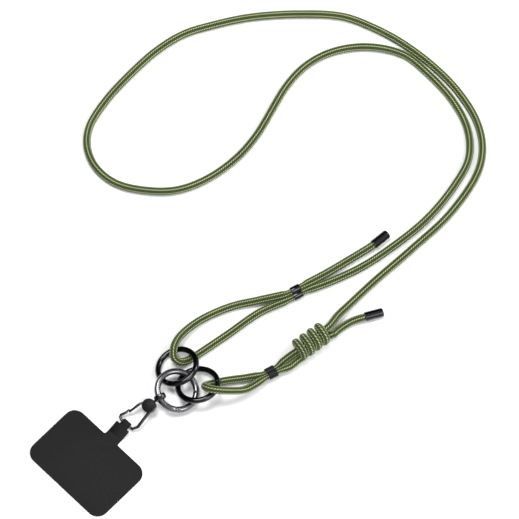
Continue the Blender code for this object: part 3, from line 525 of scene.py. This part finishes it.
# ---------------------------------------------------------------- beads and end caps
def figure_eight(radius, steps=20):
    """The outline of two equal circles that overlap, side by side along y."""
    half = math.degrees(math.acos(BEAD_SPACING / radius))
    right = arc_points((0, BEAD_SPACING), radius, -90 + half, 270 - half, steps)
    left = arc_points((0, -BEAD_SPACING), radius, 90 + half, 450 - half, steps)
    return right[:-1] + left[:-1]


def build_bead(name, place, body, node, material):
    """A double-barrel tube with rolled ends."""
    middle, angle, tilt = place
    along = heading(angle)
    right = Vector((along.y, -along.x, 0)) * math.cos(tilt) + Vector((0, 0, math.sin(tilt)))
    turn = frame_matrix(middle, along, along.cross(-right)) @ Matrix.Rotation(math.pi / 2, 4, "Y")
    half = BEAD_LENGTH / 2
    roll = (BEAD_OUTER - BEAD_CHANNEL) / 2
    middle_radius = (BEAD_OUTER + BEAD_CHANNEL) / 2
    profile = [(middle_radius + roll * math.cos(a), half - roll + roll * math.sin(a))
               for a in [math.pi * k / 8 for k in range(9)]]
    profile += [(radius, -height) for radius, height in reversed(profile)]
    shape = bmesh.new()
    rings = [[shape.verts.new((x, y, height)) for x, y in figure_eight(radius)]
             for radius, height in profile]
    skin_rings(shape, rings, closed=True)
    bead = finish_shape(name, shape, material, turn, math.radians(50))
    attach(bead, body)
    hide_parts(node)
    return bead


def build_end_cap(name, place, node, material, dimples):
    """A crimped cup with a rounded end, a rolled lip and small crimp dimples."""
    mouth, angle = place
    rounding = CAP_ROUNDING
    lip = CAP_LIP
    profile = [(0.00001, CAP_BORE_DEPTH), (CAP_BORE - 0.0002, CAP_BORE_DEPTH),
               (CAP_BORE, CAP_BORE_DEPTH - 0.0002), (CAP_BORE, lip)]
    profile += [(CAP_BORE + lip - lip * math.cos(a), lip - lip * math.sin(a))
                for a in [math.pi / 2 * k / 4 for k in range(1, 5)]]
    profile += [(CAP_OUTER - 0.0001, 0.00004), (CAP_OUTER, 0.00018)]
    profile += [(CAP_OUTER, CAP_LENGTH * k / 24) for k in range(1, 22)]
    profile += arc_points((CAP_OUTER - rounding, CAP_LENGTH - rounding), rounding, 0, 84, 7)
    profile += [(CAP_OUTER / 3, CAP_LENGTH - 0.00002), (0.00001, CAP_LENGTH)]
    sides = 40
    shape = bmesh.new()
    rings = []
    for radius, height in profile:
        ring = []
        for k in range(sides):
            turn = math.tau * k / sides
            inward = 0.0
            for dimple_turn, dimple_height in dimples:
                sideways = (turn - dimple_turn) * CAP_OUTER
                off = math.hypot(sideways, height - dimple_height) / DIMPLE_RADIUS
                if radius > CAP_BORE + 0.0001 and off < 1:
                    inward += DIMPLE_DEPTH * (1 - off * off) ** 2
            ring.append(shape.verts.new(((radius - inward) * math.cos(turn),
                                         (radius - inward) * math.sin(turn), height)))
        rings.append(ring)
    skin_rings(shape, rings)
    shape.faces.new(list(reversed(rings[0])))
    shape.faces.new(rings[-1])
    cap = finish_shape(name, shape, material, upright_along(mouth, heading(angle)))
    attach(cap, "cord")
    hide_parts(node)
    return cap


# ---------------------------------------------------------------- rings
def build_ring(name, place, body, seam_turn, material):
    """Bent round wire whose two ends meet in a fine butt seam."""
    count = 160
    sides = 28
    shape = bmesh.new()
    rings = []
    turns = [math.tau * k / count for k in range(count)]
    turns += [(seam_turn + side) % math.tau for side in (-0.012, -0.004, 0.004, 0.012)]
    for turn in sorted(turns):
        out = heading(turn)
        from_seam = abs((turn - seam_turn + math.pi) % math.tau - math.pi)
        wire = RING_WIRE - (RING_SEAM_DEPTH if from_seam < 0.006 else 0.0)
        ring = []
        for k in range(sides):
            angle = math.tau * k / sides
            offset = out * math.cos(angle) + Vector((0, 0, math.sin(angle)))
            ring.append(shape.verts.new(out * RING_RADIUS + offset * wire))
        rings.append(ring)
    skin_rings(shape, rings, closed=True)
    ring = finish_shape(name, shape, material, sloped_place(place), math.radians(60))
    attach(ring, body)
    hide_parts(body)
    return ring


# ---------------------------------------------------------------- refined CAD shapes
def refine(node, name, body, material, edge=0.00012, smooth_edge=math.radians(38)):
    """A finer piece on a CAD node's own shape: welded, with rounded edges."""
    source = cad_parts[node].data
    shape = bmesh.new()
    shape.from_mesh(source)
    bmesh.ops.remove_doubles(shape, verts=shape.verts, dist=2e-6)
    bmesh.ops.dissolve_limit(shape, angle_limit=math.radians(1), verts=shape.verts,
                             edges=shape.edges)
    for layer in list(shape.loops.layers.uv.values()):
        shape.loops.layers.uv.remove(layer)
    piece = finish_shape(name, shape, material, None, math.radians(180))
    if edge:
        step = piece.modifiers.new("Rounded edges", "BEVEL")
        step.width = edge
        step.segments = 2
        step.limit_method = "ANGLE"
        step.angle_limit = smooth_edge
        step.harden_normals = True
    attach(piece, body)
    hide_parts(node)
    return piece


# ---------------------------------------------------------------- studio
def build_studio():
    shape = bmesh.new()
    bmesh.ops.create_grid(shape, x_segments=1, y_segments=1, size=3.0)
    floor = finish_shape("floor", shape, floor_material())
    floor.location = (0.1, 0.12, -0.0001)
    target = Vector((0.10, 0.12, 0.0))
    lamps = [("key", (-0.22, 0.42, 1.6), 0.8, 22.0), ("fill", (0.8, -0.6, 1.1), 0.6, 7.0),
             ("strip", (0.75, 0.35, 0.7), 0.25, 3.0)]
    for name, place, size, power in lamps:
        data = bpy.data.lights.new(name, "AREA")
        data.shape = "DISK"
        data.size = size
        data.energy = power
        lamp = bpy.data.objects.new(name, data)
        bpy.context.scene.collection.objects.link(lamp)
        lamp.location = place
        lamp.rotation_euler = (target - lamp.location).to_track_quat("-Z", "Y").to_euler()
    world = bpy.data.worlds.new("soft_room")
    world.use_nodes = True
    tree = world.node_tree
    # a room that is darker towards the back left
    place = tree.nodes.new("ShaderNodeTexCoord").outputs["Generated"]
    way = tree.nodes.new("ShaderNodeVectorMath")
    way.operation = "DOT_PRODUCT"
    way.inputs[1].default_value = (0.72, -0.45, 0.53)
    tree.links.new(place, way.inputs[0])
    ramp = tree.nodes.new("ShaderNodeValToRGB")
    ramp.color_ramp.elements[0].position = 0.0
    ramp.color_ramp.elements[0].color = (0.06, 0.06, 0.065, 1.0)
    ramp.color_ramp.elements[1].position = 0.85
    ramp.color_ramp.elements[1].color = (1.0, 1.0, 1.0, 1.0)
    tree.links.new(way.outputs["Value"], ramp.inputs["Fac"])
    tree.links.new(ramp.outputs["Color"], tree.nodes["Background"].inputs["Color"])
    tree.nodes["Background"].inputs["Strength"].default_value = 0.85
    bpy.context.scene.world = world
    bpy.context.scene.view_settings.view_transform = "Standard"


def main():
    make_camera()
    cord, path = build_cord(cord_material())
    black = metal_material("black_nickel", (0.016, 0.016, 0.019), 0.08, 0.18, 0.5, 0.12)
    satin = metal_material("satin_black_nickel", (0.018, 0.018, 0.020), 0.36, 0.50, 0.0, 0.20)
    gunmetal = metal_material("gunmetal", (0.15, 0.15, 0.16), 0.14, 0.24, 0.2, 0.12)
    hook_metal = metal_material("hook_gunmetal", (0.045, 0.045, 0.050), 0.10, 0.20, 0.4, 0.12)
    steel = metal_material("spring_steel", (0.45, 0.45, 0.46), 0.20, 0.34, 0.0, 0.2)
    beads = [build_bead("upper_cord_bead", UPPER_BEAD_PLACE, "bead_upper", "bead_upper", black),
             build_bead("lower_cord_bead", LOWER_BEAD_PLACE, "bead_lower", "bead_lower", satin)]
    caps = [build_end_cap("upper_cord_cap", UPPER_CAP_PLACE, "end_cap_upper", black, []),
            build_end_cap("lower_cord_cap", LOWER_CAP_PLACE, "end_cap_lower", black,
                          [(math.pi, 0.0050)])]
    build_ring("upper_ring_wire", UPPER_RING_PLACE, "ring_upper", math.radians(95), black)
    build_ring("lower_ring_wire", LOWER_RING_PLACE, "ring_lower", math.radians(5), black)
    refine("carabiner_body", "carabiner_frame", "carabiner", gunmetal)
    refine("carabiner_gate", "carabiner_gate_arm", "carabiner_gate", gunmetal)
    refine("carabiner_gate_pin", "carabiner_rivet", "carabiner", gunmetal, 0.00006)
    refine("carabiner_gate_spring", "carabiner_coil", "carabiner_gate", steel, 0)
    refine("swivel_eye", "swivel_loop", "swivel_eye", hook_metal)
    refine("hook_body", "hook_frame", "hook", hook_metal)
    refine("hook_gate", "hook_trigger", "hook_gate", hook_metal)
    refine("hook_cap", "hook_drum_cap", "hook", paint_material(), 0.0001)
    refine("hook_gate_pin", "hook_pivot", "hook", steel, 0.00006)
    refine("hook_gate_spring", "hook_coil", "hook", steel, 0)
    refine("tether_tab", "tab_plate", "tab", tab_material(), 0.00018)
    build_studio()


main()
